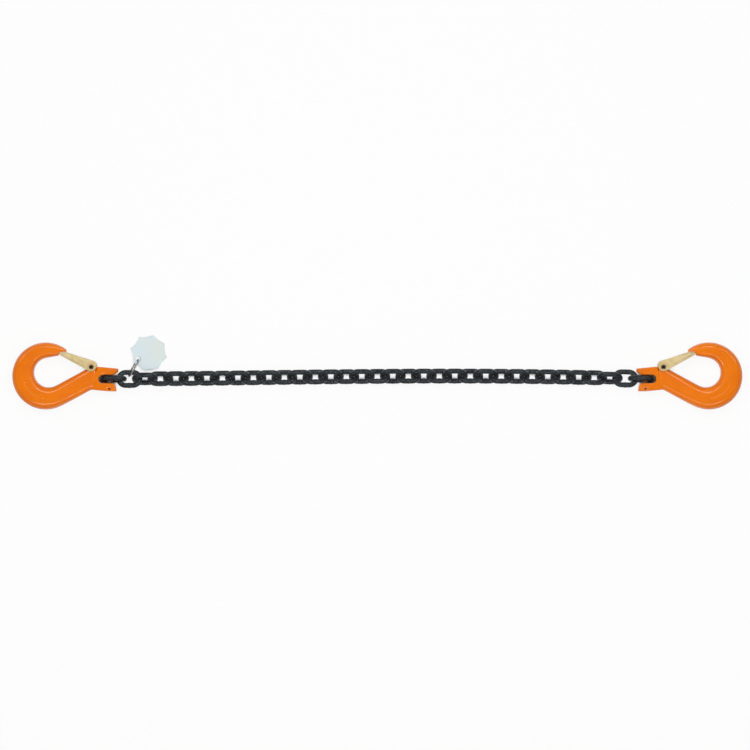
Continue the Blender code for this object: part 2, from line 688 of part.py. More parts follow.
def make_tag(bench, joints):
    """Wire ring round the second link's upper leg, and the plate that hangs on it."""
    link = link_matrix(2, joints)
    leg = link @ Vector((RING_SHIFT, LINK_HALF_SPACING, 0))
    flat = heading(RING_HEADING).to_3d()
    along = flat * math.cos(RING_DIP) - Vector((0, 0, math.sin(RING_DIP)))
    side = Vector((0, 0, 1)).cross(flat)
    ring_frame = Matrix((along, along.cross(side), -side)).transposed().to_4x4()
    ring_frame = place(leg.x, leg.y, leg.z) @ ring_frame @ Matrix.Rotation(RING_ROLL, 4, "X")
    half_width = (RING_INSIDE_WIDTH + RING_WIRE) / 2
    half_length = RING_SPAN / 2 + half_width
    loop = [Vector((p.x + RING_SPAN / 2, p.y, 0)) for p in stadium(half_length, half_width)]
    curve = wire_curve("tag_ring", loop, RING_WIRE / 2, 2, True)
    new_piece("tag_ring", curve, ring_frame, bench.root, bench.spring, bench.parts)
    hang = leg + along * (RING_SPAN + half_width)
    slope = flat * math.cos(TAG_TILT) - Vector((0, 0, math.sin(TAG_TILT)))
    tag_frame = Matrix((-side, slope, (-side).cross(slope))).transposed().to_4x4()
    tag_frame.translation = hang
    new_piece("tag", tag_mesh(), tag_frame, bench.root, bench.silver, bench.parts)


def tag_mesh():
    """Plate with hollowed sides, lying in XY with its hanging point at the origin."""
    slack = TAG_HOLE_RADIUS - RING_WIRE / 2 - RING_PLAY
    hole_centre = Vector((0, slack))
    toward = heading(math.pi / 2 - (RING_HEADING - TAG_HEADING))
    centre = hole_centre + TAG_HOLE_REACH * toward
    first_corner = math.atan2(-toward.y, -toward.x) + TAG_HOLE_TO_CORNER
    side_turn = 2 * math.pi / TAG_SIDES
    outline = []
    for k in range(TAG_SIDES):
        corner = centre + TAG_RADIUS * heading(first_corner + k * side_turn)
        following = centre + TAG_RADIUS * heading(first_corner + (k + 1) * side_turn)
        inward = (centre - (corner + following) / 2).normalized()
        for share in (0, 0.25, 0.5, 0.75):
            hollow = TAG_HOLLOW * 4 * share * (1 - share)
            outline.append(mix(corner, following, share) + inward * hollow)
    hole = arc(hole_centre, TAG_HOLE_RADIUS, 0, 2 * math.pi * 15 / 16, 15)
    return outline_mesh("tag", [outline, hole], -TAG_THICKNESS / 2, TAG_THICKNESS / 2)


def centre_on_floor(bench):
    """Moves the sling so that the origin lies under the middle of its box, on the floor."""
    bpy.context.view_layer.update()
    graph = bpy.context.evaluated_depsgraph_get()
    corners = []
    for piece in bench.parts.objects:
        if piece.type == "EMPTY":
            continue
        shape = piece.evaluated_get(graph)
        mesh = shape.to_mesh()
        corners += [shape.matrix_world @ vertex.co for vertex in mesh.vertices]
        shape.to_mesh_clear()
    low = Vector([min(corner[axis] for corner in corners) for axis in range(3)])
    high = Vector([max(corner[axis] for corner in corners) for axis in range(3)])
    bench.root.location = (-(low.x + high.x) / 2, -(low.y + high.y) / 2, -low.z)


def main():
    clear_scene()
    bench = Bench()
    joints = chain_joints()
    left_pin = link_matrix(1, joints) @ Vector((-PIN_SEAT, 0, 0))
    right_pin = link_matrix(LINK_COUNT, joints) @ Vector((PIN_SEAT, 0, 0))
    left_end = new_empty("left_end", place(left_pin.x, left_pin.y, PIN_HEIGHT), bench.root, bench.parts)
    facing_back = place(right_pin.x, right_pin.y, PIN_HEIGHT) @ Matrix.Rotation(math.pi, 4, "Y")
    right_end = new_empty("right_end", facing_back, bench.root, bench.parts)
    make_hook(bench, left_end)
    make_load_pin(bench, left_end)
    make_retaining_pin(bench, left_end)
    make_latch_pin(bench, left_end)
    make_latch(bench, left_end)
    make_spring(bench, left_end)
    copy_end(bench, left_end, right_end)
    make_chain(bench, left_end, joints)
    make_tag(bench, joints)
    centre_on_floor(bench)


main()
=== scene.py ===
"""Dressed scene of the chain sling: forged hooks, round links, latches, pins, springs, ring and tag."""

import json
import math

import bmesh
import bpy
import numpy as np
from mathutils import Matrix, Vector

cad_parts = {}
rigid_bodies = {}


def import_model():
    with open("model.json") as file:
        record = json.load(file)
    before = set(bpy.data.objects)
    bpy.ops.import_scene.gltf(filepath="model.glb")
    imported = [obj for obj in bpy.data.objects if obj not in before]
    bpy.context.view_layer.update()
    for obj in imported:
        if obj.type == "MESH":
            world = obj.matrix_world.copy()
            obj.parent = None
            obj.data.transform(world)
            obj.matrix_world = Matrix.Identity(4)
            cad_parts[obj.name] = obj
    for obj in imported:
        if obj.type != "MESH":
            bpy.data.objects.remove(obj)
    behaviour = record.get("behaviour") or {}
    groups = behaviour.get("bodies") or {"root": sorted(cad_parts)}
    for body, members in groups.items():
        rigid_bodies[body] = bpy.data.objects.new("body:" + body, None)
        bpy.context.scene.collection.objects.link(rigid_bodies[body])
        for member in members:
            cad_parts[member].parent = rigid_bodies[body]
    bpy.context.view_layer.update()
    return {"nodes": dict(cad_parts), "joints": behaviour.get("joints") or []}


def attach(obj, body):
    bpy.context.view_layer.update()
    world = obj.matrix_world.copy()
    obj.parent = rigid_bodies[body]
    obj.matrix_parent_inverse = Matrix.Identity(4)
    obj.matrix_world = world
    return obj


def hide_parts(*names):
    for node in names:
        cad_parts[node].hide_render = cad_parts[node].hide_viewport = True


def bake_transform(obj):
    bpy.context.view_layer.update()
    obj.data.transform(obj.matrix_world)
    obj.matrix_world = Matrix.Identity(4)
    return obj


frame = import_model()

joint_at = {joint["name"]: Vector(joint["pos_m"]) for joint in frame["joints"]}
LEFT_PIN = joint_at["left_hook_on_link_01"]
RIGHT_PIN = joint_at["right_hook_on_link_35"]

# The hook in plan, measured from its load pin, with the chain towards +X
BOWL_CENTRE = Vector((-0.0811, 0.0086))
BOWL_RADIUS = 0.020
BACK_CENTRE = Vector((-0.0852, 0.0040))
BACK_RADIUS = 0.0449
NOSE_LEAN = math.radians(10)
NOSE_RAKE = math.radians(5)
NOSE_LENGTH = 0.0281
SHANK_RISE = math.radians(28.3)
BOWL_STEPS = 16
SHANK_STEPS = 6
SHANK_THINNED_AT = 0.55
NOSE_SHARES = (0, 0.05, 0.2, 0.4, 0.6, 0.8)
RUN_IN = -0.017
RUN_IN_TOP = 0.0142
RUN_IN_BOTTOM = -0.0121

# Half thicknesses of the forging, the round of its section's corners as a share, and what smoothing takes
HALF_BOWL = 0.0131
HALF_SHANK = 0.0085
HALF_NOSE = 0.008
HALF_HEAD = 0.011
SECTION_CORNER = 0.62
SECTION_SPARE = 1.02

# Soft edges: voxels and rounds of smoothing before and after the machined cuts, and the triangles kept
ROUGH_VOXEL = 0.0007
ROUGH_ROUNDS = 12
FINE_VOXEL = 0.00042
FINE_ROUNDS = 11
HOOK_TRIANGLES = 170000

# Parting line, and the plain sunk field on each side of the bowl
PARTING_HALF = 0.0008
PARTING_HEIGHT = 0.00016
PARTING_LEAN = 0.35
PARTING_STOP = 0.012
MARK_FROM = math.radians(203)
MARK_TO = math.radians(262)
MARK_INSIDE = 0.0285
MARK_OUTSIDE = 0.0355
MARK_DEPTH = 0.0005

# Clevis head, its slot and the room in which the second link swings. SOFT is the width of a rounded edge
HEAD_BACK = 0.023
HEAD_BACK_RISE = 0.002
HEAD_TOP_FALL = 0.0004
HEAD_TOP = 0.0139
HEAD_BOTTOM = -0.0166
HEAD_SOFT = 0.0017
HEAD_SHOULDER = (-0.0168, HEAD_TOP + 0.0028)
HEAD_FULL_FROM = -0.004
HEAD_THIN_BEHIND = -0.012
HEAD_THIN_LOWER = 0.66
HEAD_THIN_UPPER = 0.8
SLOT_HALF = 0.0057
SLOT_END = -0.0145
UPPER_TIP = 0.0118
UPPER_TIP_SLANT = 0.0036
LOWER_TIP = 0.0095
LOWER_TIP_ROUND = ((0.0006, 0.0055), (0.0016, 0.0026), (0.0042, 0))
TIP_SPARE = 0.004
SLOPE_BACK = -0.0121
SLOPE_BACK_HEIGHT = 0.0097
SLOPE_FOOT = 0.008
SLOPE_FOOT_HEIGHT = 0.0074
UPPER_RIDGE = Vector((0.0001, HEAD_TOP, HALF_HEAD))
LOWER_RIDGE = Vector((0.0077, HEAD_BOTTOM, HALF_HEAD))
SWING_RING = 0.0217
SWING_CLEAR = 0.0134
SWING_BACK = -0.005
# Painted shade in the slot: depth below the rim where it starts, depth it darkens over, its margin past the
# slot wall and fade there
SLOT_SHADE_FROM = 0.0012
SLOT_SHADE_FADE = 0.003
SLOT_SHADE_MARGIN = 0.0011
SLOT_SHADE_MARGIN_FADE = 0.0006

# Sizes of cutters: right through, along the bore, up from a field or a slope, and beyond the whole hook
THROUGH = 0.06
BORE_LENGTH = 0.08
MARK_REACH = 0.02
CUT_HEIGHT = 0.05
BEYOND = 0.2

# Pins, latch and spring
LOAD_PIN_RADIUS = 0.0045
RETAINING_PIN_RADIUS = 0.0012
RETAINING_PIN_Y = HEAD_BOTTOM + 0.0035
ROLL_PIN_RADIUS = 0.003
ROLL_PIN_WALL = 0.0012
PIN_PLAY = 0.0003
PIN_INSET = 0.001
LOAD_PIN_SOFT = 0.0005
LOAD_PIN_RIM = 0.0012
LOAD_PIN_DISH = 0.0004
LOAD_PIN_DISH_DEPTH = 0.0002
RETAINING_PIN_SOFT = 0.00015
RETAINING_PIN_WALL = 0.0005
RETAINING_PIN_HOLLOW = 0.002
ROLL_PIN_SOFT = 0.0002
ROLL_PIN_PROUD = 0.0003
LUG_RADIUS = 0.0054
LATCH_IN = 0.0089
LATCH_OUT = 0.0109
LATCH_SHEET = 0.002
LATCH_EYE_RADIUS = 0.0073
LATCH_EYE = Vector((0.0009, -0.0013))
LATCH_UNDER_NOSE = 0.009
LATCH_RISE = 0.0025
LATCH_TAPER = 0.0073
LATCH_SHOULDER = 0.005
LATCH_TIP_HALF = 0.0019
LATCH_CLEAR = 0.0004
LATCH_FOLD = 0.0016
LATCH_WEB_FROM = 0.006
RIB_RADIUS = 0.0017
RIB_PROUD = 0.0004
RIB_START = (0.0115, 0.0016)
RIB_END = (0.0085, -0.0003)
LATCH_SOFT = 0.0003
EYE_RELIEF = 0.0013
EYE_RELIEF_DEPTH = 0.0004
COIL_RADIUS = 0.0041
SPRING_WIRE = 0.0011
SPRING_HALF_WIDTH = 0.003
SPRING_STEPS = 160
SPRING_HOOK_LEG = 0.011
SPRING_LATCH_LEG = 0.017
SPRING_ROOM = 0.00175
POCKET_WIDTH = 0.0083
GROOVE_LENGTH = 0.0118
GROOVE_CLEAR = 0.0004
GROOVE_OUT = 0.02

# Chain link and tag ring, by the middle line of their wire. The link's wire is drawn 0.05 mm thin in
# radius, so that the links clear the tag as they turn
LINK_WIRE = 0.00345
LINK_HALF_SPACING = 0.0093
LINK_HALF_LENGTH = 0.014
WELD_HALF = 0.0018
WELD_HEIGHT = 0.00028
RING_WIRE = 0.0011
RING_HALF_SPACING = 0.0057
RING_HALF_LENGTH = 0.0125

# Tag plate and the pressed field that leaves its border
TAG_RADIUS = 0.025
TAG_THICKNESS = 0.0016
TAG_BORDER = 0.0021
FIELD_DEPTH = 0.00035
TAG_SOFT = 0.00016

# Camera: its height above the load pins, the width it sees there, and its place in plan
CAMERA_DISTANCE = 6.0
CAMERA_SPAN = 1.0016
CAMERA_SENSOR = 36
CAMERA_X = -0.0031
CAMERA_Y = LEFT_PIN.y + 0.00534


def heading(angle):
    return Vector((math.cos(angle), math.sin(angle)))


def mix(first, second, share):
    return first + (second - first) * share


def eased(share):
    share = min(max(share, 0.0), 1.0)
    return share * share * (3 - 2 * share)


def arc(centre, radius, start, end, steps):
    return [centre + radius * heading(mix(start, end, k / steps)) for k in range(steps + 1)]


def only(*objects):
    """Selects these objects and nothing else, the first of them active."""
    bpy.ops.object.select_all(action="DESELECT")
    for obj in objects:
        obj.select_set(True)
    bpy.context.view_layer.objects.active = objects[0]


def edit(obj):
    only(obj)
    bpy.ops.object.mode_set(mode="EDIT")
    bpy.ops.mesh.select_all(action="SELECT")


def choose(obj, kind, test):
    """In edit mode, selects the vertices, edges or faces that pass a test, and nothing else."""
    bpy.ops.mesh.select_mode(type=kind)
    bpy.ops.mesh.select_all(action="DESELECT")
    mesh = bmesh.from_edit_mesh(obj.data)
    mesh.normal_update()
    for item in {"VERT": mesh.verts, "EDGE": mesh.edges, "FACE": mesh.faces}[kind]:
        if test(item):
            item.select_set(True)
    mesh.select_flush_mode()
    bmesh.update_edit_mesh(obj.data)


def finish_edit():
    bpy.ops.mesh.select_all(action="SELECT")
    bpy.ops.mesh.normals_make_consistent(inside=False)
    bpy.ops.object.mode_set(mode="OBJECT")


def turn(angle, axis, centre):
    """Turns what is selected by the right-hand rule."""
    bpy.ops.transform.rotate(value=-angle, orient_axis=axis, center_override=centre)


def add_modifier(obj, kind, **settings):
    """Adds a modifier and applies it."""
    only(obj)
    modifier = obj.modifiers.new(kind.lower(), kind)
    for name, value in settings.items():
        setattr(modifier, name, value)
    bpy.ops.object.modifier_apply(modifier=modifier.name)


def bevel(obj, width, segments, degrees):
    """Rounds every edge sharper than an angle."""
    limit = math.radians(degrees)
    add_modifier(obj, "BEVEL", width=width, segments=segments, limit_method="ANGLE", angle_limit=limit)


def carve(obj, operation, tool):
    """Joins, cuts or keeps the common part with a tool shape, which is then thrown away."""
    add_modifier(obj, "BOOLEAN", operation=operation, object=tool, solver="MANIFOLD")
    bpy.data.objects.remove(tool)


def start_piece(name):
    """Names the primitive just added and puts its place into its mesh."""
    obj = bpy.context.object
    obj.name = name
    only(obj)
    bpy.ops.object.transform_apply(location=True, rotation=True, scale=True)
    return obj


def plate(name, outline, low, high):
    """A flat blank cut to an outline and drawn up to its thickness."""
    bpy.ops.object.select_all(action="DESELECT")
    bpy.ops.mesh.primitive_circle_add(vertices=len(outline), radius=1, fill_type="NGON")
    blank = start_piece(name)
    for vertex, corner in zip(blank.data.vertices, outline):
        vertex.co = (corner[0], corner[1], low)
    edit(blank)
    bpy.ops.mesh.extrude_region_move(TRANSFORM_OT_translate={"value": (0, 0, high - low)})
    finish_edit()
    return blank


def drum(name, radius, length, centre, along="Z", sides=64):
    """A round bar on a centre, along Z or Y."""
    bpy.ops.object.select_all(action="DESELECT")
    lean = (math.pi / 2, 0, 0) if along == "Y" else (0, 0, 0)
    bpy.ops.mesh.primitive_cylinder_add(
        vertices=sides, radius=radius, depth=length, location=centre, rotation=lean
    )
    return start_piece(name)


def stretched_ring(name, wire, half_spacing, half_length, around, section):
    """Round wire bent to a link: a torus whose halves are drawn apart along X."""
    bpy.ops.object.select_all(action="DESELECT")
    bpy.ops.mesh.primitive_torus_add(
        major_radius=half_spacing, minor_radius=wire, major_segments=around, minor_segments=section
    )
    ring = start_piece(name)
    apart = half_length - half_spacing
    edit(ring)
    for side in (1, -1):
        choose(ring, "VERT", lambda vertex: vertex.co.x * side > half_spacing * 0.001)
        bpy.ops.transform.translate(value=(side * apart, 0, 0))
    finish_edit()
    return ring


def smooth(obj, degrees):
    only(obj)
    bpy.ops.object.shade_smooth_by_angle(angle=math.radians(degrees))


def copy_to(obj, name, matrix):
    """A copy with its own mesh, put in place in that mesh."""
    copy = obj.copy()
    copy.data = obj.data.copy()
    copy.name = name
    copy.data.name = name
    bpy.context.scene.collection.objects.link(copy)
    copy.data.transform(matrix)
    return copy


def copy_of_node(node, name):
    """A merged copy of a CAD node, as a start for a finer piece."""
    copy = copy_to(frame["nodes"][node], name, Matrix())
    copy.parent = None
    copy.matrix_world = Matrix()
    copy.data.materials.clear()
    edit(copy)
    bpy.ops.mesh.remove_doubles(threshold=0.000005)
    bpy.ops.object.mode_set(mode="OBJECT")
    return copy


PIVOT = (joint_at["left_latch_swing"] - LEFT_PIN).to_2d()
NOSE_TURN = math.pi / 2 + NOSE_LEAN
SHANK_TURN = 1.5 * math.pi + SHANK_RISE
NOSE_START = BOWL_CENTRE + BOWL_RADIUS * heading(NOSE_TURN)
NOSE_END = NOSE_START + NOSE_LENGTH * heading(NOSE_LEAN)
LATCH_AIM = NOSE_END - LATCH_UNDER_NOSE * heading(NOSE_LEAN) + LATCH_RISE * heading(NOSE_TURN)
LATCH_LENGTH = (LATCH_AIM - PIVOT).length
LATCH_HEADING = math.atan2(LATCH_AIM.y - PIVOT.y, LATCH_AIM.x - PIVOT.x)
AT_PIVOT = Matrix.Translation((PIVOT.x, PIVOT.y, 0))
LATCH_PLACE = AT_PIVOT @ Matrix.Rotation(LATCH_HEADING, 4, "Z")
AT_LEFT = Matrix.Translation(LEFT_PIN)
AT_RIGHT = Matrix.Translation(RIGHT_PIN) @ Matrix.Rotation(math.pi, 4, "Y")


def hook_stations():
    """Sections of the forging from the nose round the bowl and up the shank into the head."""
    tip = NOSE_END - BACK_CENTRE
    tip_turn = math.atan2(tip.y, tip.x) + NOSE_RAKE
    stations = []
    for share in NOSE_SHARES:
        outside = BACK_CENTRE + BACK_RADIUS * heading(mix(tip_turn, NOSE_TURN, share))
        half = mix(HALF_NOSE, HALF_BOWL, eased(share))
        stations.append((mix(NOSE_END, NOSE_START, share), outside, half))
    inner = arc(BOWL_CENTRE, BOWL_RADIUS, NOSE_TURN, SHANK_TURN, BOWL_STEPS)
    outer = arc(BACK_CENTRE, BACK_RADIUS, NOSE_TURN, SHANK_TURN, BOWL_STEPS)
    stations += [(inside, outside, HALF_BOWL) for inside, outside in zip(inner, outer)]
    rise = math.tan(SHANK_RISE)
    lug_inside = Vector((PIVOT.x, inner[-1].y + (PIVOT.x - inner[-1].x) * rise))
    lug_outside = Vector((PIVOT.x, outer[-1].y + (PIVOT.x - outer[-1].x) * rise))
    for k in range(1, SHANK_STEPS + 1):
        share = k / SHANK_STEPS
        half = mix(HALF_BOWL, HALF_SHANK, eased(share / SHANK_THINNED_AT))
        stations.append((mix(inner[-1], lug_inside, share), mix(outer[-1], lug_outside, share), half))
    stations.append((Vector((RUN_IN, RUN_IN_TOP)), Vector((RUN_IN, RUN_IN_BOTTOM)), HALF_SHANK))
    return stations


def draw_bar(name, stations):
    """A squared oval section drawn out station by station, as a bar is drawn under the hammer."""
    bpy.ops.object.select_all(action="DESELECT")
    bpy.ops.mesh.primitive_plane_add(size=2, rotation=(math.pi / 2, 0, 0))
    bar = start_piece(name)
    edit(bar)
    bpy.ops.mesh.bevel(affect="VERTICES", offset=SECTION_CORNER, offset_type="OFFSET", segments=3)
    bpy.ops.mesh.select_all(action="SELECT")
    last = (Vector((0, 0, 0)), 0.0, 1.0, 1.0)
    for k, (inside, outside, half) in enumerate(stations):
        middle = ((inside + outside) / 2).to_3d()
        across = outside - inside
        angle = math.atan2(across.y, across.x)
        width = across.length / 2 * SECTION_SPARE
        if k:
            bpy.ops.mesh.extrude_region_move()
        turn(-last[1], "Z", last[0])
        bpy.ops.transform.resize(value=(width / last[2], 1, half / last[3]), center_override=last[0])
        turn(angle, "Z", last[0])
        bpy.ops.transform.translate(value=middle - last[0])
        last = (middle, angle, width, half)
    finish_edit()
    return bar


def clevis_head():
    """The fork that takes the end link, thinned at the back where it runs into the shank."""
    outline = [
        (-HEAD_BACK, HEAD_BOTTOM + HEAD_BACK_RISE),
        (0, HEAD_BOTTOM),
        (UPPER_TIP + TIP_SPARE, HEAD_BOTTOM),
        (UPPER_TIP + TIP_SPARE, HEAD_TOP - HEAD_TOP_FALL),
        HEAD_SHOULDER,
    ]
    head = plate("clevis_head", outline, -HALF_HEAD, HALF_HEAD)
    edit(head)
    bpy.ops.mesh.bisect(plane_co=(HEAD_FULL_FROM, 0, 0), plane_no=(1, 0, 0))
    for low, high, share in ((-1, 0, HEAD_THIN_LOWER), (0, 1, HEAD_THIN_UPPER)):
        choose(head, "VERT", lambda vertex: vertex.co.x < HEAD_THIN_BEHIND and low < vertex.co.y < high)
        bpy.ops.transform.resize(value=(1, 1, share), center_override=(0, 0, 0))
    finish_edit()
    bevel(head, HEAD_SOFT, 4, 50)
    return head


def fork_end():
    """What is kept of the fork: slanted prong tips in plan, rounded about the load pin from the side."""
    outline = [
        (-BEYOND, -BEYOND),
        (LOWER_TIP, -BEYOND),
        (LOWER_TIP, HEAD_BOTTOM),
        *((LOWER_TIP - back, -SLOT_HALF - below) for back, below in LOWER_TIP_ROUND),
        (UPPER_TIP / 2, SLOT_HALF),
        (UPPER_TIP, SLOT_HALF + UPPER_TIP_SLANT),
        (UPPER_TIP, BEYOND),
        (-BEYOND, BEYOND),
    ]
    wide = BEYOND + 0.1
    behind_pin = [(-wide, -wide), (0, -wide), (0, wide), (-wide, wide)]
    rounded = plate("fork_round", behind_pin, -THROUGH, THROUGH)
    carve(rounded, "UNION", drum("fork_drum", UPPER_TIP, BEYOND + wide, (0, 0, 0), "Y", 128))
    tips = plate("fork_end", outline, -CUT_HEIGHT, CUT_HEIGHT)
    carve(tips, "INTERSECT", rounded)
    return tips


def link_slot():
    end = arc(Vector((SLOT_END + SLOT_HALF, 0)), SLOT_HALF, math.pi / 2, 1.5 * math.pi, 24)
    outline = [(THROUGH, SLOT_HALF), *end, (THROUGH, -SLOT_HALF)]
    return plate("link_slot", outline, -THROUGH / 2, THROUGH / 2)


def swing_room():
    """The hollow that the second link turns in, as part of a ring round the load pin."""
    bpy.ops.object.select_all(action="DESELECT")
    bpy.ops.mesh.primitive_torus_add(
        major_radius=SWING_RING,
        minor_radius=SWING_CLEAR,
        major_segments=96,
        minor_segments=64,
        rotation=(math.pi / 2, 0, 0),
    )
    room = start_piece("swing_room")
    edit(room)
    bpy.ops.mesh.bisect(plane_co=(SWING_BACK, 0, 0), plane_no=(1, 0, 0), use_fill=True, clear_inner=True)
    finish_edit()
    return room


def prong_slope(ridge_front, face):
    """Cutter for the flat on a prong that falls from a slanting ridge towards its tip and the slot."""
    side = math.copysign(1, ridge_front.y)
    back = Vector((SLOPE_BACK, side * SLOT_HALF, SLOPE_BACK_HEIGHT))
    foot = Vector((SLOPE_FOOT, side * SLOT_HALF, SLOPE_FOOT_HEIGHT))
    normal = (ridge_front - back).cross(foot - back)
    beyond = back + 2 * (ridge_front - back)
    far = THROUGH / 2
    outline = [(SLOPE_BACK, 0), (far, 0), (far, beyond.y), beyond.to_2d(), back.to_2d()]
    slope = plate("prong_slope", outline, 0, CUT_HEIGHT)
    for vertex in slope.data.vertices:
        if vertex.co.z < far:
            out = vertex.co - back
            vertex.co.z = back.z - (normal.x * out.x + normal.y * out.y) / normal.z
        vertex.co.z *= face
    edit(slope)
    finish_edit()
    return slope


def latch_edge():
    """Outer face of the latch web: at the eye, at the shoulder and at the tip."""
    eye = LATCH_EYE - Vector((0, LATCH_EYE_RADIUS))
    shoulder = Vector((LATCH_LENGTH - LATCH_TAPER, -LATCH_SHOULDER))
    return eye, shoulder, Vector((LATCH_LENGTH, -LATCH_TIP_HALF))


def nose_notch():
    """Room under the nose for the latch tip."""
    shoulder, tip = latch_edge()[1:]
    slope = (tip - shoulder).normalized()
    up = Vector((slope.y, -slope.x)) * LATCH_CLEAR
    wall = LATCH_LENGTH + LATCH_CLEAR
    corner = tip + up + slope * ((wall - tip.x) / slope.x)
    start = shoulder + up - slope * (LATCH_TAPER / slope.x)
    outline = [(wall, BOWL_RADIUS), corner, start, (start.x, BOWL_RADIUS)]
    notch = plate("nose_notch", outline, -THROUGH / 2, THROUGH / 2)
    notch.data.transform(LATCH_PLACE)
    return notch


def marking_field(side):
    """A plain sunk field along the back of the bowl."""
    inside = arc(BOWL_CENTRE, MARK_INSIDE, MARK_FROM, MARK_TO, 24)
    outside = arc(BOWL_CENTRE, MARK_OUTSIDE, MARK_TO, MARK_FROM, 24)
    low, high = sorted((side * (HALF_BOWL - MARK_DEPTH), side * MARK_REACH))
    return plate("marking_field", inside + outside, low, high)


def latch_lug():
    return drum("latch_lug", LUG_RADIUS, 2 * (HALF_SHANK - PIN_PLAY), (PIVOT.x, PIVOT.y, 0))


def make_hook():
    """One forging: bar and head run together, then slotted, bored and notched, with soft edges."""
    hook = draw_bar("hook", hook_stations())
    add_modifier(hook, "SUBSURF", levels=2, render_levels=2)
    only(hook, clevis_head(), latch_lug())
    bpy.ops.object.join()
    add_modifier(hook, "REMESH", mode="VOXEL", voxel_size=ROUGH_VOXEL)
    carve(hook, "DIFFERENCE", swing_room())
    for side in (1, -1):
        middle = (PIVOT.x, PIVOT.y, side * (HALF_SHANK - EYE_RELIEF_DEPTH + THROUGH / 2))
        carve(hook, "DIFFERENCE", drum("eye_relief", LATCH_EYE_RADIUS + EYE_RELIEF, THROUGH, middle))
    add_modifier(hook, "REMESH", mode="VOXEL", voxel_size=ROUGH_VOXEL)
    add_modifier(hook, "SMOOTH", factor=0.5, iterations=ROUGH_ROUNDS)
    for side in (1, -1):
        carve(hook, "DIFFERENCE", marking_field(side))
    carve(hook, "UNION", latch_lug())
    for ridge_front in (UPPER_RIDGE, LOWER_RIDGE):
        for face in (1, -1):
            carve(hook, "DIFFERENCE", prong_slope(ridge_front, face))
    carve(hook, "INTERSECT", fork_end())
    carve(hook, "DIFFERENCE", link_slot())
    carve(hook, "DIFFERENCE", nose_notch())
    at_pivot = (PIVOT.x, PIVOT.y, 0)
    for name, radius, length, centre, along in (
        ("load_pin_bore", LOAD_PIN_RADIUS + PIN_PLAY, BORE_LENGTH, (0, 0, 0), "Y"),
        ("cross_hole", RETAINING_PIN_RADIUS + PIN_PLAY, THROUGH, (0, RETAINING_PIN_Y, 0), "Z"),
        ("pivot_hole", ROLL_PIN_RADIUS + PIN_PLAY, THROUGH, at_pivot, "Z"),
        ("spring_pocket", COIL_RADIUS + SPRING_ROOM, POCKET_WIDTH, at_pivot, "Z"),
    ):
        carve(hook, "DIFFERENCE", drum(name, radius, length, centre, along))
    carve(hook, "DIFFERENCE", leg_groove())
    add_modifier(hook, "REMESH", mode="VOXEL", voxel_size=FINE_VOXEL)
    add_modifier(hook, "SMOOTH", factor=0.5, iterations=FINE_ROUNDS)
    add_modifier(hook, "DECIMATE", ratio=min(1, HOOK_TRIANGLES / (2 * len(hook.data.polygons))))
    parting_line(hook)
    # Painted shade down in the slot
    paint_slot_shade(hook)
    only(hook)
    bpy.ops.object.shade_smooth()
    return hook


def leg_groove():
    """Groove along the shank's inner edge for the hook leg of the spring."""
    half = SPRING_WIRE / 2 + GROOVE_CLEAR
    floor = -(COIL_RADIUS + half)
    outline = [(-GROOVE_LENGTH, floor), (0, floor), (0, GROOVE_OUT), (-GROOVE_LENGTH, GROOVE_OUT)]
    groove = plate("leg_groove", outline, -SPRING_HALF_WIDTH - half, -SPRING_HALF_WIDTH + half)
    groove.data.transform(AT_PIVOT @ Matrix.Rotation(SHANK_RISE, 4, "Z"))
    return groove


def parting_line(hook):
    """The faint ridge round a forging where its two dies met."""
    for vertex in hook.data.vertices:
        height = vertex.co.z / PARTING_HALF
        on_side = abs(vertex.normal.z) < PARTING_LEAN
        if abs(height) < 1 and on_side and vertex.co.x < PIVOT.x - PARTING_STOP:
            vertex.co += vertex.normal * PARTING_HEIGHT * (1 - height * height)


def paint_slot_shade(hook):
    """Painted shade in the slot: marks how far each point lies down in it, darkest deep down."""
    slot_shade = hook.data.attributes.new("slot_shade", "FLOAT", "POINT")
    end = SLOT_END + SLOT_HALF
    for vertex, value in zip(hook.data.vertices, slot_shade.data):
        beyond = Vector((min(vertex.co.x - end, 0), vertex.co.y))
        inside = (SLOT_HALF + SLOT_SHADE_MARGIN - beyond.length) / SLOT_SHADE_MARGIN_FADE
        along = (vertex.co.x - SLOPE_BACK) / (SLOPE_FOOT - SLOPE_BACK)
        rim = mix(SLOPE_BACK_HEIGHT, SLOPE_FOOT_HEIGHT, along)
        depth = (rim - abs(vertex.co.z) - SLOT_SHADE_FROM) / SLOT_SHADE_FADE
        value.value = eased(depth) * eased(inside)


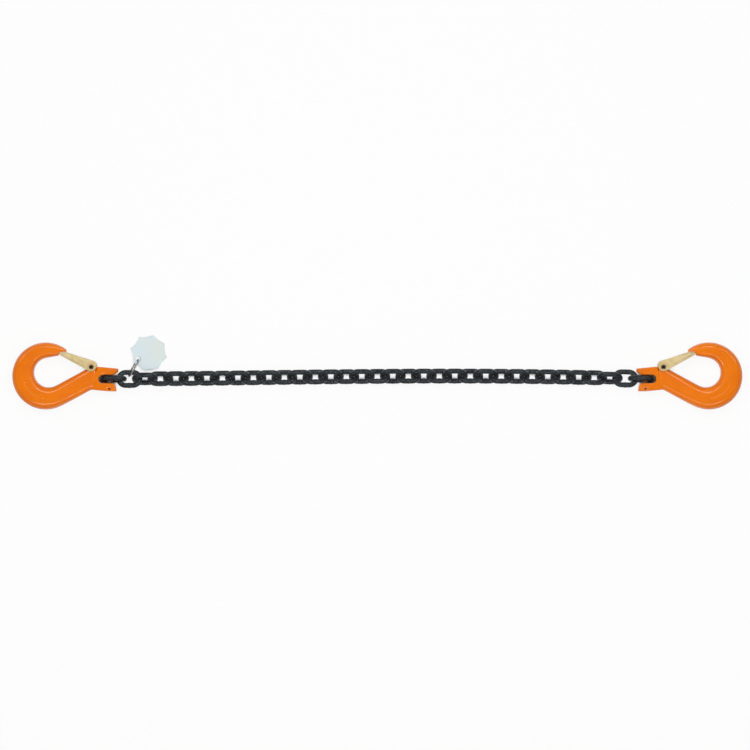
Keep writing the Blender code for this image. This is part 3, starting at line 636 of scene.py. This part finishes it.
def make_latch():
    """A folded channel: a blank cut to the side's outline, its folds rounded and its inside cleared."""
    eye, shoulder, tip = latch_edge()
    round_eye = arc(LATCH_EYE, LATCH_EYE_RADIUS, math.radians(84), 1.5 * math.pi, 28)
    outline = [*round_eye, shoulder, tip, Vector((LATCH_LENGTH - LATCH_SHEET / 2, LATCH_TIP_HALF))]
    latch = plate("latch", outline, -LATCH_OUT, LATCH_OUT)
    fold = [eye, shoulder, tip]

    def on_fold(edge):
        first, second = (vertex.co for vertex in edge.verts)
        gaps = [min((end.to_2d() - corner).length for corner in fold) for end in (first, second)]
        return max(gaps) < 0.0001 and abs(first.z - second.z) < 0.0001

    edit(latch)
    choose(latch, "EDGE", on_fold)
    bpy.ops.mesh.bevel(affect="EDGES", offset=LATCH_FOLD, segments=5)
    finish_edit()
    for side in (1, -1):
        carve(latch, "UNION", stiffening_bead(side))
    past_tip = tip + (tip - shoulder)
    web_from = mix(eye, shoulder, (LATCH_WEB_FROM - eye.x) / (shoulder.x - eye.x))
    down = Vector((0, LATCH_SHEET))
    inside = [
        (-THROUGH, THROUGH),
        (-THROUGH, -THROUGH),
        (LATCH_WEB_FROM, -THROUGH),
        web_from + down,
        shoulder + down,
        past_tip + down,
        (past_tip.x, THROUGH),
    ]
    carve(latch, "DIFFERENCE", plate("latch_inside", inside, -LATCH_IN, LATCH_IN))
    carve(latch, "DIFFERENCE", drum("latch_hole", ROLL_PIN_RADIUS + PIN_PLAY, THROUGH, (0, 0, 0)))
    bevel(latch, LATCH_SOFT, 2, 35)
    smooth(latch, 32)
    latch.data.transform(LATCH_PLACE)
    return latch


def stiffening_bead(side):
    """A shallow pressed rib along the lower half of a cheek."""
    first = Vector((*RIB_START, side * (LATCH_OUT - RIB_RADIUS + RIB_PROUD)))
    second = Vector((LATCH_LENGTH - RIB_END[0], RIB_END[1], first.z))
    bpy.ops.object.select_all(action="DESELECT")
    bpy.ops.mesh.primitive_uv_sphere_add(segments=32, ring_count=16, radius=RIB_RADIUS)
    bead = start_piece("stiffening_bead")
    edit(bead)
    choose(bead, "VERT", lambda vertex: vertex.co.x > 0.00001)
    bpy.ops.transform.translate(value=((second - first).length, 0, 0))
    finish_edit()
    along = (second - first).to_track_quat("X", "Z").to_matrix().to_4x4()
    bead.data.transform(Matrix.Translation(first) @ along)
    return bead


def make_load_pin():
    """A plain pin across the fork, its ends a little below the prongs and dished."""
    low = HEAD_BOTTOM + PIN_INSET
    high = HEAD_TOP - PIN_INSET
    pin = drum("load_pin", LOAD_PIN_RADIUS, high - low, (0, (low + high) / 2, 0), "Y")
    edit(pin)
    choose(pin, "FACE", lambda face: abs(face.normal.y) > 0.9)
    bpy.ops.mesh.inset(thickness=LOAD_PIN_RIM)
    bpy.ops.mesh.inset(thickness=LOAD_PIN_DISH, depth=-LOAD_PIN_DISH_DEPTH)
    finish_edit()
    bevel(pin, LOAD_PIN_SOFT, 3, 40)
    smooth(pin, 30)
    return pin


def make_retaining_pin():
    """A small rolled pin, hollow at its ends."""
    length = 2 * (HALF_HEAD - PIN_INSET)
    pin = drum("retaining_pin", RETAINING_PIN_RADIUS, length, (0, RETAINING_PIN_Y, 0), "Z", 32)
    edit(pin)
    choose(pin, "FACE", lambda face: abs(face.normal.z) > 0.9)
    bpy.ops.mesh.inset(thickness=RETAINING_PIN_WALL, use_individual=True)
    depth = RETAINING_PIN_HOLLOW
    for side in (1, -1):
        choose(pin, "FACE", lambda face: face.normal.z * side > 0.9 and len(face.verts) > 4)
        bpy.ops.mesh.extrude_region_move(TRANSFORM_OT_translate={"value": (0, 0, -side * depth)})
    bpy.ops.object.mode_set(mode="OBJECT")
    bevel(pin, RETAINING_PIN_SOFT, 2, 40)
    smooth(pin, 30)
    return pin


def make_roll_pin():
    """The latch pin, rolled from strip with an open slit."""
    start = math.radians(10)
    end = 2 * math.pi - start
    origin = Vector((0, 0))
    outer = arc(origin, ROLL_PIN_RADIUS, start, end, 60)
    inner = arc(origin, ROLL_PIN_RADIUS - ROLL_PIN_WALL, end, start, 60)
    half = LATCH_OUT + ROLL_PIN_PROUD
    pin = plate("latch_pin", outer + inner, -half, half)
    bevel(pin, ROLL_PIN_SOFT, 2, 40)
    smooth(pin, 30)
    pin.data.transform(AT_PIVOT)
    return pin


def make_spring():
    """Torsion spring: hook leg, three turns and a part, then the latch leg."""
    start = SHANK_RISE - math.pi / 2
    end = LATCH_HEADING - math.pi / 2
    while end < start + 6 * math.pi:
        end += 2 * math.pi
    coil = []
    for k in range(SPRING_STEPS + 1):
        share = k / SPRING_STEPS
        rim = COIL_RADIUS * heading(mix(start, end, share))
        coil.append(Vector((rim.x, rim.y, mix(-SPRING_HALF_WIDTH, SPRING_HALF_WIDTH, share))))
    hook_leg = coil[0] - SPRING_HOOK_LEG * heading(SHANK_RISE).to_3d()
    latch_leg = coil[-1] + SPRING_LATCH_LEG * heading(LATCH_HEADING).to_3d()
    curve = bpy.data.curves.new("latch_spring", "CURVE")
    curve.dimensions = "3D"
    curve.bevel_depth = SPRING_WIRE / 2
    curve.bevel_resolution = 3
    curve.use_fill_caps = True
    spline = curve.splines.new("POLY")
    points = [hook_leg, *coil, latch_leg]
    spline.points.add(len(points) - 1)
    for point, place in zip(spline.points, points):
        point.co = (*place, 1)
    wound = bpy.data.objects.new("latch_spring", curve)
    bpy.context.scene.collection.objects.link(wound)
    only(wound)
    bpy.ops.object.convert(target="MESH")
    spring = bpy.context.object
    edit(spring)
    bpy.ops.mesh.remove_doubles(threshold=0.000001)
    finish_edit()
    smooth(spring, 40)
    spring.data.transform(AT_PIVOT)
    return spring


def make_link():
    """One welded link: bent wire with a low weld bead in the middle of one leg."""
    link = stretched_ring("link", LINK_WIRE, LINK_HALF_SPACING, LINK_HALF_LENGTH, 72, 24)
    reach = LINK_HALF_LENGTH - LINK_HALF_SPACING
    edit(link)
    choose(link, "EDGE", lambda edge: crosses_leg(edge, reach))
    bpy.ops.mesh.subdivide(number_cuts=7)
    finish_edit()
    for vertex in link.data.vertices:
        bead = max(0.0, 1 - (vertex.co.x / WELD_HALF) ** 2) if vertex.co.y < 0 else 0.0
        middle = Vector((vertex.co.x, -LINK_HALF_SPACING, 0))
        vertex.co += (vertex.co - middle).normalized() * WELD_HEIGHT * bead
    rub = link.data.attributes.new("rub", "FLOAT", "POINT")
    for vertex, value in zip(link.data.vertices, rub.data):
        crown = Vector((math.copysign(reach, vertex.co.x), 0))
        out = vertex.co.to_2d() - crown
        beyond = abs(vertex.co.x) > reach
        value.value = eased((LINK_HALF_SPACING - out.length) / LINK_WIRE) if beyond else 0.0
    smooth(link, 60)
    return link


def crosses_leg(edge, reach):
    """True for the long straight edges of a link's legs."""
    first, second = (vertex.co for vertex in edge.verts)
    return abs(first.x - second.x) > reach * 0.8


def node_place(node):
    """Middle and ways of a long flat CAD ring: X along it, Y across it."""
    vertices = frame["nodes"][node].data.vertices
    corners = {tuple(round(value, 7) for value in vertex.co) for vertex in vertices}
    points = np.array(sorted(corners))
    middle = points.mean(axis=0)
    ways = np.linalg.eigh(np.cov((points - middle).T))[1]
    along = Vector(ways[:, 2])
    across = Vector(ways[:, 1])
    if along.x < 0:
        along = -along
    if across.y < 0:
        across = -across
    place = Matrix((along, across, along.cross(across))).transposed().to_4x4()
    place.translation = Vector(middle)
    return place


def make_tag():
    """The punched plate, with a low border left round a pressed field on each face."""
    tag = copy_of_node("tag", "tag_plate")
    lift = Vector(node_place("tag").col[2][:3]) * (TAG_THICKNESS - FIELD_DEPTH)
    for way in (1, -1):
        carve(tag, "DIFFERENCE", field_cutter(lift * way))
    bevel(tag, TAG_SOFT, 2, 50)
    smooth(tag, 15)
    return tag


def field_cutter(lift):
    """A whole plate a little smaller than the tag, moved off its face."""
    cutter = copy_of_node("tag", "tag_field")
    middle = sum((vertex.co for vertex in cutter.data.vertices), Vector()) / len(cutter.data.vertices)
    edit(cutter)
    choose(cutter, "FACE", lambda face: abs(face.normal.dot(lift.normalized())) > 0.9)
    bpy.ops.mesh.delete(type="FACE")
    mesh = bmesh.from_edit_mesh(cutter.data)
    far = max(mesh.verts, key=lambda vertex: (vertex.co - middle).length)
    choose(cutter, "VERT", lambda vertex: vertex.co == far.co)
    bpy.ops.mesh.select_linked()
    bpy.ops.mesh.select_all(action="INVERT")
    bpy.ops.mesh.delete(type="VERT")
    rim = bmesh.from_edit_mesh(cutter.data).verts
    middle = sum((vertex.co for vertex in rim), Vector()) / len(rim)
    bpy.ops.mesh.select_all(action="SELECT")
    share = 1 - TAG_BORDER / TAG_RADIUS
    bpy.ops.transform.resize(value=(share, share, share), center_override=middle)
    for side in (1, -1):
        choose(cutter, "VERT", lambda vertex: (vertex.co - middle).dot(lift) * side > 0)
        bpy.ops.mesh.edge_face_add()
    bpy.ops.mesh.select_all(action="SELECT")
    bpy.ops.transform.translate(value=lift)
    finish_edit()
    return cutter


def linear(code):
    """An sRGB hex colour as linear red, green, blue and alpha."""
    values = [int(code[k:k + 2], 16) / 255 for k in (1, 3, 5)]
    return tuple(v / 12.92 if v <= 0.04045 else ((v + 0.055) / 1.055) ** 2.4 for v in values) + (1,)


def per(millimetres):
    """Scale at which a noise repeats about once in this length."""
    return 1000 / millimetres


def add_node(tree, kind, inputs=None, **settings):
    """Adds a node: inputs given as sockets are linked, other inputs are set."""
    node = tree.nodes.new(kind)
    for name, value in settings.items():
        setattr(node, name, value)
    for name, value in (inputs or {}).items():
        if isinstance(value, bpy.types.NodeSocket):
            tree.links.new(value, node.inputs[name])
        else:
            node.inputs[name].default_value = value
    return node


def new_material(name):
    """A material, with its tree, shader and coordinates."""
    material = bpy.data.materials.new(name)
    material.use_nodes = True
    tree = material.node_tree
    shader = tree.nodes["Principled BSDF"]
    place = add_node(tree, "ShaderNodeTexCoord").outputs["Object"]
    return material, tree, shader, place


def blend_colours(tree, share, first, second):
    node = add_node(tree, "ShaderNodeMix", {"Factor": share}, data_type="RGBA")
    for socket, value in ((node.inputs[6], first), (node.inputs[7], second)):
        if isinstance(value, bpy.types.NodeSocket):
            tree.links.new(value, socket)
        else:
            socket.default_value = linear(value)
    return node.outputs[2]


def coated_forging():
    """Orange powder coat on a forging: even strong colour, glossy skin, orange peel, slow forged waves;
    painted shade in the slot.
    """
    material, tree, shader, place = new_material("orange_powder_coat_on_forged_steel")
    shader.inputs["Specular IOR Level"].default_value = 0.08
    shader.inputs["Coat Weight"].default_value = 0.9
    shader.inputs["Coat Roughness"].default_value = 0.07
    drift = add_node(tree, "ShaderNodeTexNoise", {"Vector": place, "Scale": per(28), "Detail": 3})
    range_of = add_node(
        tree, "ShaderNodeMapRange", {"Value": drift.outputs["Fac"], "From Min": 0.35, "From Max": 0.65}
    )
    coat = blend_colours(tree, range_of.outputs["Result"], "#E77200", "#EC7900")
    # Painted shade: near-black brown deep down in the slot, where light hardly reaches
    slot_shade = add_node(tree, "ShaderNodeAttribute", attribute_name="slot_shade")
    colour = blend_colours(tree, slot_shade.outputs["Fac"], coat, "#1B0F0A")
    tree.links.new(colour, shader.inputs["Base Color"])
    peel = add_node(tree, "ShaderNodeTexNoise", {"Vector": place, "Scale": per(1.6), "Detail": 2})
    waves = add_node(tree, "ShaderNodeTexNoise", {"Vector": place, "Scale": per(11), "Detail": 2})
    slow = add_node(
        tree, "ShaderNodeBump", {"Height": waves.outputs["Fac"], "Strength": 0.25, "Distance": 0.0012}
    )
    fine = add_node(
        tree,
        "ShaderNodeBump",
        {
            "Height": peel.outputs["Fac"],
            "Strength": 0.18,
            "Distance": 0.0002,
            "Normal": slow.outputs["Normal"],
        },
    )
    tree.links.new(fine.outputs["Normal"], shader.inputs["Normal"])
    gloss = add_node(
        tree, "ShaderNodeMapRange", {"Value": drift.outputs["Fac"], "To Min": 0.42, "To Max": 0.56}
    )
    tree.links.new(gloss.outputs["Result"], shader.inputs["Roughness"])
    return material


def blackened_steel():
    """Round steel, blackened by heat and oil: charcoal, mottled, satin, rubbed brighter in the crowns."""
    material, tree, shader, place = new_material("heat_blackened_chain_steel")
    shader.inputs["Metallic"].default_value = 0.5
    mottle = add_node(tree, "ShaderNodeTexNoise", {"Vector": place, "Scale": per(5), "Detail": 5})
    spots = add_node(
        tree, "ShaderNodeMapRange", {"Value": mottle.outputs["Fac"], "From Min": 0.35, "From Max": 0.7}
    )
    black = blend_colours(tree, spots.outputs["Result"], "#262B2E", "#3D4347")
    rub = add_node(tree, "ShaderNodeAttribute", attribute_name="rub")
    worn = add_node(
        tree, "ShaderNodeMath", {0: rub.outputs["Fac"], 1: spots.outputs["Result"]}, operation="MULTIPLY"
    )
    colour = blend_colours(tree, worn.outputs["Value"], black, "#6E7272")
    tree.links.new(colour, shader.inputs["Base Color"])
    rough = add_node(
        tree, "ShaderNodeMapRange", {"Value": mottle.outputs["Fac"], "To Min": 0.26, "To Max": 0.46}
    )
    tree.links.new(rough.outputs["Result"], shader.inputs["Roughness"])
    grain = add_node(tree, "ShaderNodeTexNoise", {"Vector": place, "Scale": per(0.9), "Detail": 3})
    bump = add_node(
        tree, "ShaderNodeBump", {"Height": grain.outputs["Fac"], "Strength": 0.25, "Distance": 0.0002}
    )
    tree.links.new(bump.outputs["Normal"], shader.inputs["Normal"])
    return material


def yellow_zinc():
    """Pressed sheet, zinc plated and yellow passivated: pale straw with drifts of green and pink, satin."""
    material, tree, shader, place = new_material("yellow_passivated_zinc_on_sheet_steel")
    shader.inputs["Metallic"].default_value = 0.25
    drift = add_node(tree, "ShaderNodeTexNoise", {"Vector": place, "Scale": per(9), "Detail": 3})
    warm = add_node(tree, "ShaderNodeTexNoise", {"Vector": place, "Scale": per(17), "Detail": 2})
    share = add_node(
        tree, "ShaderNodeMapRange", {"Value": drift.outputs["Fac"], "From Min": 0.35, "From Max": 0.65}
    )
    rosy = add_node(
        tree,
        "ShaderNodeMapRange",
        {"Value": warm.outputs["Fac"], "From Min": 0.5, "From Max": 0.75, "To Max": 0.6},
    )
    straw = blend_colours(tree, share.outputs["Result"], "#CDB982", "#DCC692")
    plated = blend_colours(tree, rosy.outputs["Result"], straw, "#E6CBA4")
    reach = None
    for side in ("left", "right"):
        pivot = joint_at[f"{side}_latch_swing"]
        about = add_node(
            tree,
            "ShaderNodeMapping",
            {"Vector": place, "Location": (-pivot.x, -pivot.y, 0), "Scale": (1, 1, 0)},
        )
        length = add_node(tree, "ShaderNodeVectorMath", {0: about.outputs["Vector"]}, operation="LENGTH")
        reach = length.outputs["Value"] if reach is None else add_node(
            tree, "ShaderNodeMath", {0: reach, 1: length.outputs["Value"]}, operation="MINIMUM"
        ).outputs["Value"]
    around_eye = add_node(
        tree,
        "ShaderNodeMapRange",
        {"Value": reach, "From Min": 0.0055, "From Max": 0.0085, "To Min": 1, "To Max": 0},
    )
    colour = blend_colours(tree, around_eye.outputs["Result"], plated, "#CEB47C")
    tree.links.new(colour, shader.inputs["Base Color"])
    rough = add_node(
        tree, "ShaderNodeMapRange", {"Value": drift.outputs["Fac"], "To Min": 0.34, "To Max": 0.5}
    )
    tree.links.new(rough.outputs["Result"], shader.inputs["Roughness"])
    rolled = add_node(tree, "ShaderNodeTexNoise", {"Vector": place, "Scale": per(1.2), "Detail": 2})
    bump = add_node(
        tree, "ShaderNodeBump", {"Height": rolled.outputs["Fac"], "Strength": 0.12, "Distance": 0.0001}
    )
    tree.links.new(bump.outputs["Normal"], shader.inputs["Normal"])
    return material


def dark_steel():
    """Hardened pin steel, phosphated and oiled: dark mottled brown with a dull gleam."""
    material, tree, shader, place = new_material("phosphated_pin_steel")
    shader.inputs["Metallic"].default_value = 0.4
    mottle = add_node(tree, "ShaderNodeTexNoise", {"Vector": place, "Scale": per(1.5), "Detail": 4})
    colour = blend_colours(tree, mottle.outputs["Fac"], "#5A463C", "#7C6658")
    tree.links.new(colour, shader.inputs["Base Color"])
    rough = add_node(
        tree, "ShaderNodeMapRange", {"Value": mottle.outputs["Fac"], "To Min": 0.35, "To Max": 0.6}
    )
    tree.links.new(rough.outputs["Result"], shader.inputs["Roughness"])
    return material


def drawn_wire(name, dark, light):
    """Drawn wire: grey and fairly bright, with fine streaks and dull patches."""
    material, tree, shader, place = new_material(name)
    shader.inputs["Metallic"].default_value = 0.9
    patches = add_node(tree, "ShaderNodeTexNoise", {"Vector": place, "Scale": per(2.5), "Detail": 4})
    colour = blend_colours(tree, patches.outputs["Fac"], dark, light)
    tree.links.new(colour, shader.inputs["Base Color"])
    rough = add_node(
        tree, "ShaderNodeMapRange", {"Value": patches.outputs["Fac"], "To Min": 0.24, "To Max": 0.46}
    )
    tree.links.new(rough.outputs["Result"], shader.inputs["Roughness"])
    return material


def satin_aluminium():
    """Rolled aluminium plate: pale silver with cool and greenish drifts and fine rolling lines, drawn 1 mm
    apart, coarser than real ones, so that they show."""
    material, tree, shader, place = new_material("satin_rolled_aluminium")
    shader.inputs["Metallic"].default_value = 0.12
    drift = add_node(tree, "ShaderNodeTexNoise", {"Vector": place, "Scale": per(22), "Detail": 2})
    share = add_node(
        tree, "ShaderNodeMapRange", {"Value": drift.outputs["Fac"], "From Min": 0.35, "From Max": 0.65}
    )
    colour = blend_colours(tree, share.outputs["Result"], "#D3DBD7", "#CFDDE2")
    tree.links.new(colour, shader.inputs["Base Color"])
    turned = add_node(
        tree, "ShaderNodeMapping", {"Vector": place, "Rotation": (0, 0, 0.5), "Scale": (1, 0.06, 1)}
    )
    lines = add_node(
        tree, "ShaderNodeTexNoise", {"Vector": turned.outputs["Vector"], "Scale": per(1), "Detail": 3}
    )
    rough = add_node(
        tree, "ShaderNodeMapRange", {"Value": lines.outputs["Fac"], "To Min": 0.3, "To Max": 0.5}
    )
    tree.links.new(rough.outputs["Result"], shader.inputs["Roughness"])
    bump = add_node(
        tree, "ShaderNodeBump", {"Height": lines.outputs["Fac"], "Strength": 0.1, "Distance": 0.0001}
    )
    tree.links.new(bump.outputs["Normal"], shader.inputs["Normal"])
    return material


def settle(piece, material, body, node):
    """Gives a finished piece its material and its body, and hides the CAD node it stands for."""
    piece.data.materials.clear()
    piece.data.materials.append(material)
    if body:
        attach(piece, body)
    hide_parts(node)


orange = coated_forging()
black = blackened_steel()
zinc = yellow_zinc()
dark = dark_steel()
spring_wire = drawn_wire("drawn_spring_steel", "#6A6B6C", "#9A9B9C")
ring_wire = drawn_wire("drawn_galvanised_wire", "#8C8A88", "#C4C0BC")
silver = satin_aluminium()

ends = {"left": AT_LEFT, "right": AT_RIGHT}
patterns = {
    "hook": (make_hook(), orange, "hook", "hook"),
    "load_pin": (make_load_pin(), dark, "hook", "pin"),
    "retaining_pin": (make_retaining_pin(), dark, "hook", "pin"),
    "latch_pin": (make_roll_pin(), dark, "hook", "pin"),
    "latch": (make_latch(), zinc, "latch", "latch"),
    "latch_spring": (make_spring(), spring_wire, None, "spring"),
}
for kind, (pattern, material, body, slot) in patterns.items():
    for side, place in ends.items():
        piece = copy_to(pattern, f"{side}_{kind}_piece", place)
        settle(piece, material, body and f"{side}_{body}", f"{side}_{kind}")
        if kind == "latch_spring":
            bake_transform(piece)
    bpy.data.objects.remove(pattern)

link = make_link()
for number in range(1, 36):
    node = f"link_{number:02d}"
    settle(copy_to(link, f"{node}_piece", node_place(node)), black, node, node)
bpy.data.objects.remove(link)

ring = stretched_ring("ring", RING_WIRE, RING_HALF_SPACING, RING_HALF_LENGTH, 64, 16)
smooth(ring, 60)
ring.data.transform(node_place("tag_ring"))
ring.name = "tag_ring_piece"
settle(ring, ring_wire, "tag_ring", "tag_ring")
settle(make_tag(), silver, "tag", "tag")


def white_floor():
    """Pale studio floor that keeps the shadow, and shows white to the eye and in gloss."""
    bpy.ops.object.select_all(action="DESELECT")
    bpy.ops.mesh.primitive_plane_add(size=12)
    floor = start_piece("studio_floor")
    material, tree, shader = new_material("white_studio_paper")[:3]
    shader.inputs["Base Color"].default_value = linear("#E9E9E8")
    shader.inputs["Roughness"].default_value = 0.9
    shader.inputs["Specular IOR Level"].default_value = 0.1
    open_sky = add_node(tree, "ShaderNodeAmbientOcclusion", {"Distance": 0.03}, samples=16)
    shine_level = add_node(
        tree, "ShaderNodeMapRange", {"Value": open_sky.outputs["AO"], "From Min": 0.14, "From Max": 0.25}
    )
    shine = add_node(tree, "ShaderNodeEmission", {"Strength": shine_level.outputs["Result"]})
    path = add_node(tree, "ShaderNodeLightPath")
    seen = add_node(
        tree,
        "ShaderNodeMath",
        {0: path.outputs["Is Camera Ray"], 1: path.outputs["Is Glossy Ray"]},
        operation="MAXIMUM",
    )
    clear = add_node(
        tree,
        "ShaderNodeMath",
        {0: seen.outputs["Value"], 1: path.outputs["Is Transmission Ray"]},
        operation="MAXIMUM",
    )
    part = add_node(tree, "ShaderNodeMath", {0: clear.outputs["Value"], 1: 0.9}, operation="MULTIPLY")
    both = add_node(
        tree,
        "ShaderNodeMixShader",
        {"Fac": part.outputs["Value"], 1: shader.outputs["BSDF"], 2: shine.outputs["Emission"]},
    )
    tree.links.new(both.outputs["Shader"], tree.nodes["Material Output"].inputs["Surface"])
    floor.data.materials.append(material)


def studio_light():
    """Even daylight, dimmer straight above, a soft box hidden from gloss, and four thin strips."""
    world = bpy.data.worlds.new("studio")
    bpy.context.scene.world = world
    world.use_nodes = True
    tree = world.node_tree
    sky = tree.nodes["Background"]
    sky.inputs["Color"].default_value = (1, 1, 1, 1)
    way = add_node(tree, "ShaderNodeTexCoord").outputs["Generated"]
    height = add_node(tree, "ShaderNodeSeparateXYZ", {"Vector": way}).outputs["Z"]
    level = add_node(
        tree,
        "ShaderNodeMapRange",
        {"Value": height, "From Min": 0.8, "From Max": 0.96, "To Min": 0.28, "To Max": 0.06},
    )
    tree.links.new(level.outputs["Result"], sky.inputs["Strength"])
    white = add_node(tree, "ShaderNodeBackground", {"Color": (1, 1, 1, 1), "Strength": 1.0})
    path = add_node(tree, "ShaderNodeLightPath")
    seen = add_node(
        tree,
        "ShaderNodeMath",
        {0: path.outputs["Is Camera Ray"], 1: path.outputs["Is Transmission Ray"]},
        operation="MAXIMUM",
    )
    both = add_node(
        tree,
        "ShaderNodeMixShader",
        {"Fac": seen.outputs["Value"], 1: sky.outputs["Background"], 2: white.outputs["Background"]},
    )
    tree.links.new(both.outputs["Shader"], tree.nodes["World Output"].inputs["Surface"])
    for name, place, length, width, power in (
        ("soft_box", (0, 0.2, 2.2), 1.8, 1.4, 27),
        ("strip_above", (0, 0.95, 1.9), 2.4, 0.06, 9),
        ("strip_below", (0, -1.0, 1.9), 2.4, 0.06, 8),
        ("strip_left", (-1.4, 0.85, 1.6), 0.9, 0.06, 3),
        ("strip_right", (1.4, 0.85, 1.6), 0.9, 0.06, 3),
    ):
        lamp = bpy.data.lights.new(name, "AREA")
        lamp.shape = "RECTANGLE"
        lamp.size = length
        lamp.size_y = width
        lamp.energy = power
        stand = bpy.data.objects.new(name, lamp)
        stand.location = place
        stand.rotation_euler = (-Vector(place)).to_track_quat("-Z", "Y").to_euler()
        stand.visible_glossy = name != "soft_box"
        bpy.context.scene.collection.objects.link(stand)


def top_camera():
    """A long lens straight above."""
    eye = bpy.data.cameras.new("camera")
    eye.sensor_width = CAMERA_SENSOR
    eye.lens = CAMERA_SENSOR * CAMERA_DISTANCE / CAMERA_SPAN
    eye.clip_end = 100
    camera = bpy.data.objects.new("camera", eye)
    camera.location = (CAMERA_X, CAMERA_Y, CAMERA_DISTANCE + LEFT_PIN.z)
    bpy.context.scene.collection.objects.link(camera)
    bpy.context.scene.camera = camera


white_floor()
studio_light()
top_camera()
bpy.context.scene.view_settings.view_transform = "Standard"
